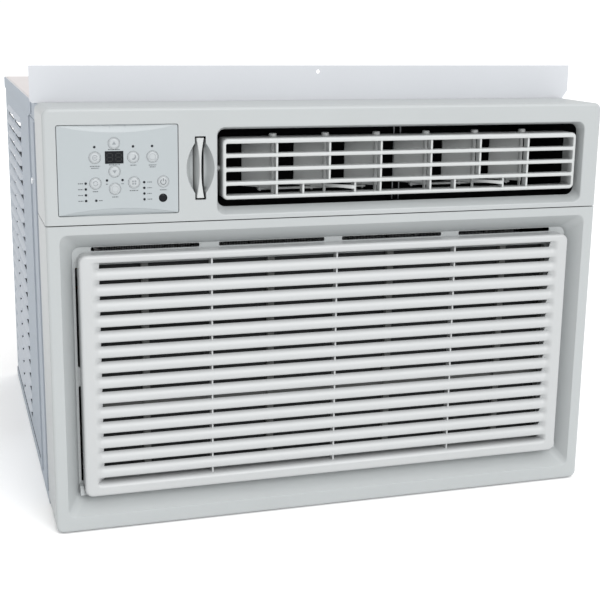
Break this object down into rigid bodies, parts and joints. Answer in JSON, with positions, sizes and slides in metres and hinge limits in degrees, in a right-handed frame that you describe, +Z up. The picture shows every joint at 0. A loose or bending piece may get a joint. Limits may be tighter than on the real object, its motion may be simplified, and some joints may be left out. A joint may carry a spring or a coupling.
{
  "type": "window air conditioner",
  "caption": "Window air conditioner: steel sleeve with louvred sides, moulded front with tilting intake grille, push-button panel, turning vanes and a fresh air pull.",
  "frame": {"origin": "centre of the footprint, at the level the unit rests on", "axes": "+X to the right seen from the room, +Y towards the outdoors (the front faces -Y), +Z up"},
  "size_m": [0.682, 0.651, 0.529],
  "materials": {
    "painted_steel": "satin",
    "galvanised_steel": "satin",
    "front_plastic": "satin",
    "louver_plastic": "satin",
    "panel_overlay": "satin",
    "button_plastic": "satin",
    "dark_window": "gloss",
    "light_pipe": "gloss",
    "circuit_board": "matte",
    "fin_aluminium": "satin",
    "copper_tube": "satin",
    "foam_duct": "matte",
    "black_plastic": "matte",
    "black_paint": "semi-gloss",
    "motor_metal": "satin",
    "filter_net": "matte",
    "rubber": "matte"
  },
  "bodies": {
    "housing": {"cabinet_sleeve": "painted_steel", "base_pan": "galvanised_steel", "top_mounting_angle": "painted_steel", "side_rail_left": "painted_steel", "side_rail_right": "painted_steel", "rail_screw_left": "galvanised_steel", "rail_screw_right": "galvanised_steel", "upper_front_panel": "front_plastic", "lower_front_panel": "front_plastic", "filter_frame": "front_plastic", "filter_mesh": "filter_net", "control_panel": "panel_overlay", "display_window": "dark_window", "ir_lens": "dark_window", "light_guide": "light_pipe", "control_board": "circuit_board", "evaporator_coil": "fin_aluminium", "drain_pan": "foam_duct", "air_partition": "galvanised_steel", "blower_scroll": "foam_duct", "outlet_duct": "foam_duct", "fan_motor": "motor_metal", "motor_bracket": "galvanised_steel", "condenser_shroud": "galvanised_steel", "condenser_coil": "fin_aluminium", "compressor": "black_paint", "compressor_grommet_1": "rubber", "compressor_grommet_2": "rubber", "compressor_grommet_3": "rubber", "suction_accumulator": "black_paint", "discharge_tube": "copper_tube", "suction_tube": "copper_tube", "capillary_tube": "copper_tube", "control_box": "galvanised_steel", "run_capacitor": "motor_metal", "cord_bushing": "rubber"},
    "grille": {"intake_grille": "front_plastic"},
    "louver": {"louver_frame": "louver_plastic"},
    "vane_1": {"vane_1": "louver_plastic"},
    "vane_2": {"vane_2": "louver_plastic"},
    "vane_3": {"vane_3": "louver_plastic"},
    "vane_4": {"vane_4": "louver_plastic"},
    "vane_5": {"vane_5": "louver_plastic"},
    "vane_6": {"vane_6": "louver_plastic"},
    "link_left": {"vane_link_left": "louver_plastic"},
    "link_right": {"vane_link_right": "louver_plastic"},
    "fan_rotor": {"blower_wheel": "black_plastic", "fan_shaft": "galvanised_steel", "condenser_fan": "black_plastic"},
    "vent_pull": {"vent_pull": "louver_plastic"},
    "vent_door": {"vent_door": "galvanised_steel"},
    "button_check": {"button_check": "button_plastic"},
    "button_up": {"button_up": "button_plastic"},
    "button_down": {"button_down": "button_plastic"},
    "button_sleep": {"button_sleep": "button_plastic"},
    "button_energy": {"button_energy": "button_plastic"},
    "button_mode": {"button_mode": "button_plastic"},
    "button_timer": {"button_timer": "button_plastic"},
    "button_fan": {"button_fan": "button_plastic"},
    "button_power": {"button_power": "button_plastic"}
  },
  "joints": [
    {"name": "grille_tilt", "type": "hinge", "parent": "housing", "child": "grille", "pos_m": [0, -0.31, 0.0467], "axis": [1, 0, 0], "range_deg": [0, 35]},
    {"name": "louver_tilt", "type": "hinge", "parent": "housing", "child": "louver", "pos_m": [0.0845, -0.3035, 0.4177], "axis": [1, 0, 0], "range_deg": [-15, 15]},
    {"name": "vane_1_turn", "type": "hinge", "parent": "louver", "child": "vane_1", "pos_m": [-0.074, -0.2985, 0.4177], "axis": [0, 0, 1], "range_deg": [-100, 0]},
    {"name": "vane_2_turn", "type": "hinge", "parent": "louver", "child": "vane_2", "pos_m": [-0.0106, -0.2985, 0.4177], "axis": [0, 0, 1], "range_deg": [-100, 0]},
    {"name": "vane_3_turn", "type": "hinge", "parent": "louver", "child": "vane_3", "pos_m": [0.0528, -0.2985, 0.4177], "axis": [0, 0, 1], "range_deg": [-100, 0]},
    {"name": "vane_4_turn", "type": "hinge", "parent": "louver", "child": "vane_4", "pos_m": [0.1162, -0.2985, 0.4177], "axis": [0, 0, 1], "range_deg": [-100, 0]},
    {"name": "vane_5_turn", "type": "hinge", "parent": "louver", "child": "vane_5", "pos_m": [0.1796, -0.2985, 0.4177], "axis": [0, 0, 1], "range_deg": [-100, 0]},
    {"name": "vane_6_turn", "type": "hinge", "parent": "louver", "child": "vane_6", "pos_m": [0.243, -0.2985, 0.4177], "axis": [0, 0, 1], "range_deg": [-100, 0]},
    {"name": "link_left_swing", "type": "hinge", "parent": "vane_2", "child": "link_left", "pos_m": [-0.02286, -0.28821, 0.391], "axis": [0, 0, 1], "range_deg": [0, 100]},
    {"name": "link_right_swing", "type": "hinge", "parent": "vane_5", "child": "link_right", "pos_m": [0.16734, -0.28821, 0.391], "axis": [0, 0, 1], "range_deg": [0, 100]},
    {"name": "fan_spin", "type": "hinge", "parent": "housing", "child": "fan_rotor", "pos_m": [0.062, 0, 0.212], "axis": [0, 1, 0], "continuous": true},
    {"name": "vent_pull_slide", "type": "slide", "parent": "housing", "child": "vent_pull", "axis": [0, -1, 0], "range_m": [0, 0.01]},
    {"name": "vent_door_swing", "type": "hinge", "parent": "housing", "child": "vent_door", "pos_m": [-0.1644, -0.0807, 0.463], "axis": [1, 0, 0], "range_deg": [0, 25]},
    {"name": "button_check_press", "type": "slide", "parent": "housing", "child": "button_check", "axis": [0, 1, 0], "range_m": [0, 0.0008], "stiffness_N_per_m": 1500},
    {"name": "button_up_press", "type": "slide", "parent": "housing", "child": "button_up", "axis": [0, 1, 0], "range_m": [0, 0.0008], "stiffness_N_per_m": 1500},
    {"name": "button_down_press", "type": "slide", "parent": "housing", "child": "button_down", "axis": [0, 1, 0], "range_m": [0, 0.0008], "stiffness_N_per_m": 1500},
    {"name": "button_sleep_press", "type": "slide", "parent": "housing", "child": "button_sleep", "axis": [0, 1, 0], "range_m": [0, 0.0008], "stiffness_N_per_m": 1500},
    {"name": "button_energy_press", "type": "slide", "parent": "housing", "child": "button_energy", "axis": [0, 1, 0], "range_m": [0, 0.0008], "stiffness_N_per_m": 1500},
    {"name": "button_mode_press", "type": "slide", "parent": "housing", "child": "button_mode", "axis": [0, 1, 0], "range_m": [0, 0.0008], "stiffness_N_per_m": 1500},
    {"name": "button_timer_press", "type": "slide", "parent": "housing", "child": "button_timer", "axis": [0, 1, 0], "range_m": [0, 0.0008], "stiffness_N_per_m": 1500},
    {"name": "button_fan_press", "type": "slide", "parent": "housing", "child": "button_fan", "axis": [0, 1, 0], "range_m": [0, 0.0008], "stiffness_N_per_m": 1500},
    {"name": "button_power_press", "type": "slide", "parent": "housing", "child": "button_power", "axis": [0, 1, 0], "range_m": [0, 0.0008], "stiffness_N_per_m": 1500}
  ],
  "couplings": [
    {"joint": "vane_1_turn", "follows": "vane_2_turn", "ratio": 1},
    {"joint": "vane_3_turn", "follows": "vane_2_turn", "ratio": 1},
    {"joint": "vane_4_turn", "follows": "vane_5_turn", "ratio": 1},
    {"joint": "vane_6_turn", "follows": "vane_5_turn", "ratio": 1},
    {"joint": "link_left_swing", "follows": "vane_2_turn", "ratio": -1},
    {"joint": "link_right_swing", "follows": "vane_5_turn", "ratio": -1},
    {"joint": "vent_door_swing", "follows": "vent_pull_slide", "rad_per_m": 43.6}
  ]
}
